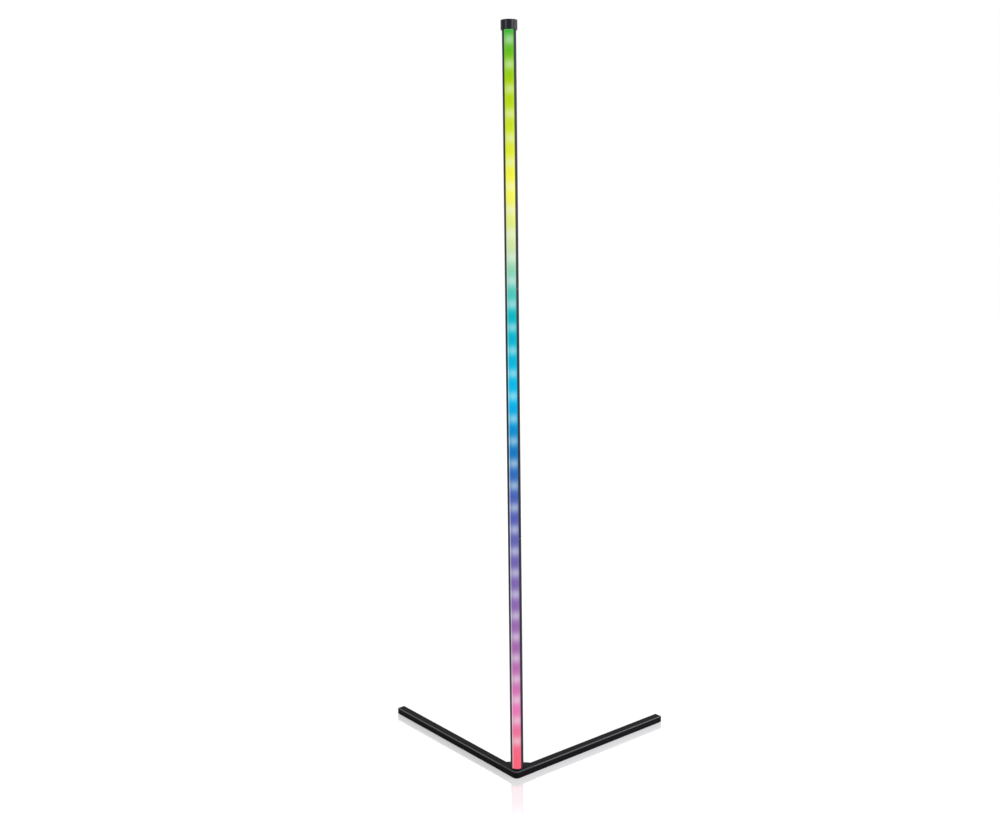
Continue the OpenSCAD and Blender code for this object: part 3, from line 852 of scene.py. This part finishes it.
def corner_piece():
    block = v_block("corner_casting", CORNER_LOW, CORNER_HIGH)
    bevelled(block, 2.0, 6, lambda middle, edge: middle.z > CORNER_HIGH - NEAR)
    bevelled(block, 0.3, 2, lambda middle, edge: middle.z < CORNER_LOW + NEAR)
    socket = round_piece("socket", SOCKET_R, SOCKET_FLOOR, ABOVE, 128)
    inlet = moved(
        round_piece("inlet_hole", INLET_R, INLET_FROM, BEHIND, 64),
        Matrix.Translation((0, 0, INLET_Z * MM)) @ turned(-90, "X"))
    recess = v_block("recess", CORNER_LOW - 0.5, RECESS_TOP, RECESS_IN)
    carved(block, socket, inlet, recess)
    eased(block, 0.15, 60)
    dressed(block, "powder_coat", "corner_metal", "corner_piece")


corner_piece()

# %% [markdown]
# ## End plugs and rubber pads
# A plastic plug closes each leg, and pads keep the base off the floor. The plug's plate has the
# leg's own outline with softly rounded edges. One plug is modelled, and each leg gets a copy. The
# matrix that takes a copy to the left leg mirrors it, so the normals are turned out again. The
# pads are flat rounds with an eased rim: one under the V's point, and four copies of a smaller one
# under the legs.

# %% End plugs and rubber pads
LEG_END, PLATE_T, LEG_LOW, LEG_HIGH, TUBE_EDGE = 400, 2, 1, 14, 1.0
TONGUE_L, TONGUE_IN = 12, 1.65
PAD_T, POINT_PAD_R, LEG_PAD_R, PAD_FROM_END = 1, 7.0, 5.5, 15


def along_leg(side):
    """From a leg's own place, x along it and y in from its outer face, to where it stands."""
    flip = Matrix.Diagonal((side, 1, 1, 1))
    return flip @ Matrix.Translation((0, CORNER_Y * MM, 0)) @ turned(45, "Z")


def leg_plug():
    """The mesh of the plug that both legs have, in a leg's own place."""
    near_face, middle_x = LEG_END - PLATE_T, LEG_END - PLATE_T / 2
    plate = box_piece("plate", (near_face, 0, LEG_LOW), (LEG_END, LEG_W, LEG_HIGH))
    bevelled(plate, TUBE_EDGE, 5, lambda middle, edge: abs(middle.x - middle_x) < NEAR)
    bevelled(plate, 0.5, 3, lambda middle, edge: middle.x > LEG_END - NEAR)
    bevelled(plate, 0.2, 2, lambda middle, edge: middle.x < near_face + NEAR)
    tongue = box_piece(
        "tongue", (near_face - TONGUE_L, TONGUE_IN, LEG_LOW + TONGUE_IN),
        (middle_x, LEG_W - TONGUE_IN, LEG_HIGH - TONGUE_IN))
    eased(tongue, 0.4)
    return put_away(joined(plate, tongue))


def leg_plugs():
    plug = leg_plug()
    for side, node in ((-1, "leg_plug_left"), (1, "leg_plug_right")):
        plate = moved(copied(plug, node + "_plate"), along_leg(side))
        pick_all(plate)
        bpy.ops.mesh.normals_make_consistent(inside=False)
        done()
        dressed(plate, "black_moulding", "black_plastic", node)


def pad(name, radius):
    """A flat round at the origin, with its lower rim eased."""
    flat = round_piece(name, radius, 0, PAD_T, 64)
    bevelled(flat, 0.3, 3, lambda middle, edge: middle.z < NEAR)
    return flat


def rubber_pads():
    pads = [pad("rubber_pad_rounds", POINT_PAD_R)]
    leg_pad = put_away(pad("leg_pad", LEG_PAD_R))
    for side in (-1, 1):
        for along in ((ARM + LEG_END) / 2, LEG_END - PAD_FROM_END):
            place = along_leg(side) @ Vector((along * MM, LEG_W / 2 * MM, 0))
            pads.append(moved(copied(leg_pad, "leg_pad"), Matrix.Translation(place)))
    dressed(joined(*pads), "foot_rubber", "rubber", "rubber_pads")


leg_plugs()
rubber_pads()

# %% [markdown]
# ## Finishes for the parts that stay
# The other parts are right as they come. Their objects keep their meshes, and only their material
# slots are filled again. The table goes from each finish to the parts that have it.

# %% Finishes for the parts that stay
STAY = {
    "powder_coat": ["leg_left", "leg_right"],
    "zinc_steel": ["joiner_lower", "joiner_upper", "pole_bolts", "corner_cover", "cover_screws",
                   "leg_screws"],
    "black_oxide": ["joiner_screws", "cap_screw", "plug_screws"],
    "white_strip": ["led_strip"],
    "white_case": ["led_packages"],
    "led_resin": ["led_wells"],
    "capacitor_ceramic": ["strip_capacitors"],
    "receiver_epoxy": ["ir_receiver"],
    "black_moulding": ["pole_plug", "inlet_body"],
    "chip_epoxy": ["control_chip", "board_parts"],
    "nickel_contact": ["inlet_pin", "inlet_spring"],
    "turned_brass": ["inlet_nut"],
    "cable_jacket": ["power_lead"],
    "ivory_nylon": ["strip_connector", "lead_socket"],
    "green_board": ["control_board"],
    "foam_tape": ["board_tape"],
    "can_aluminium": ["board_capacitors"],
}
# These are painted too, though another piece stands for them.
HIDDEN = {
    "anodised_black": ["pole_lower", "pole_middle", "pole_upper"],
    "lit_diffuser": ["diffuser"],
    "cap_plastic": ["top_cap"],
    "powder_coat": ["corner_piece"],
    "black_moulding": ["leg_plug_left", "leg_plug_right"],
    "foot_rubber": ["rubber_pads"],
}
painted = []
for table in (STAY, HIDDEN):
    for finish, members in table.items():
        for member in members:
            coated(nodes[member], finish)
            painted.append(member)
print("painted", len(painted), "of", len(nodes), sorted(set(nodes) - set(painted)))

# %% [markdown]
# ## Floor, light and room
# The lamp stands on a pale, polished floor that runs into a white background. The floor is mostly
# a white diffuse surface with a weak mirror on top, so the base shows its faint reflection and a
# soft shadow. The mirror fades out towards the front, so the pole's reflection does too. An
# emission that only the camera sees lifts the floor to the background's white, and a little more
# of it far out hides where the floor ends. The room's light is even. Tall soft lights left and
# right draw the pale streaks on the cap and the pole, and a wide one behind the lamp gives the tops
# of the legs their sheen.

# %% Floor, light and room
FLOOR_R, FLOOR_WHITE = 6, (0.86, 0.86, 0.86, 1)
MIRROR, MIRROR_AT_EDGE, MIRROR_IN_FRONT = 0.34, 0.06, 0.28
LIFT, LIFT_FAR, LIFT_SHARE = 1.1, 0.35, 0.6
AMBIENT = 0.75
WHITE, LAMP_COLOUR = (1, 1, 1, 1), (0.93, 0.94, 1.0)
POLE_MIDDLE = (0, 0, 0.8)


def floor():
    let_go()
    bpy.ops.mesh.primitive_circle_add(vertices=96, radius=FLOOR_R, fill_type="NGON")
    ground = named("floor")
    paint = begin("polished_floor")
    x, y, _ = parts_of(place_on(paint))
    seen = paint.make("ShaderNodeLightPath", out="Is Camera Ray")
    in_front = (paint.maths("ABSOLUTE", x) - y + CORNER_Y * MM) * HALF
    at_edge, beyond = in_front.step(0.012, 0.035), in_front.step(0.03, 0.24)
    polish = MIRROR - at_edge * MIRROR_AT_EDGE - beyond * MIRROR_IN_FRONT
    far = (x * x + y * y).step(0.2, 3.0)
    white = paint.make("ShaderNodeBsdfDiffuse", Color=FLOOR_WHITE)
    mirror = paint.make("ShaderNodeBsdfGlossy", Color=WHITE, Roughness=0.1)
    lift = paint.make("ShaderNodeEmission", Color=WHITE, Strength=LIFT + far * LIFT_FAR)
    matt = paint.make("ShaderNodeMixShader", Fac=seen * LIFT_SHARE, i1=white, i2=lift)
    polished = paint.make("ShaderNodeMixShader", Fac=polish, i1=matt, i2=mirror)
    paint.make("ShaderNodeOutputMaterial", Surface=polished)
    coated(ground, "polished_floor")


def room():
    world = bpy.data.worlds.new("white_room")
    bpy.context.scene.world = world
    world.use_nodes = True
    world.node_tree.nodes.clear()
    paint = Wire(world.node_tree)
    rays = [paint.make("ShaderNodeLightPath", out=f"Is {kind} Ray")
            for kind in ("Camera", "Glossy", "Transmission")]
    shown = paint.maths("MAXIMUM", paint.maths("MAXIMUM", rays[0], rays[1]), rays[2])
    paint.make(
        "ShaderNodeOutputWorld",
        Surface=paint.make(
            "ShaderNodeBackground", Color=WHITE, Strength=AMBIENT + shown * (1 - AMBIENT)),
    )


def soft_light(name, place, aim, wide, tall, level):
    """A soft box of that size in metres, as bright as level times a white wall."""
    lamp = bpy.data.lights.new(name, "AREA")
    lamp.shape, lamp.size, lamp.size_y = "RECTANGLE", wide, tall
    lamp.energy = level * math.pi * wide * tall
    lamp.color = LAMP_COLOUR
    holder = bpy.data.objects.new(name, lamp)
    facing = (Vector(aim) - Vector(place)).to_track_quat("-Z", "Y").to_matrix().to_4x4()
    holder.matrix_world = Matrix.Translation(place) @ facing
    bpy.context.scene.collection.objects.link(holder)


floor()
room()
soft_light("left_window", (-1.5, -2.0, 1.6), POLE_MIDDLE, 0.8, 1.8, 7.0)
soft_light("right_window", (2.05, -1.45, 1.6), POLE_MIDDLE, 1.2, 1.8, 8.0)
soft_light("right_lamp", (2.4, 0.4, 1.5), POLE_MIDDLE, 1.1, 1.8, 6.0)
soft_light("back_lamp", (-0.1, 2.4, 1.5), (0, 0, 0), 2.4, 0.5, 2.0)

# %% [markdown]
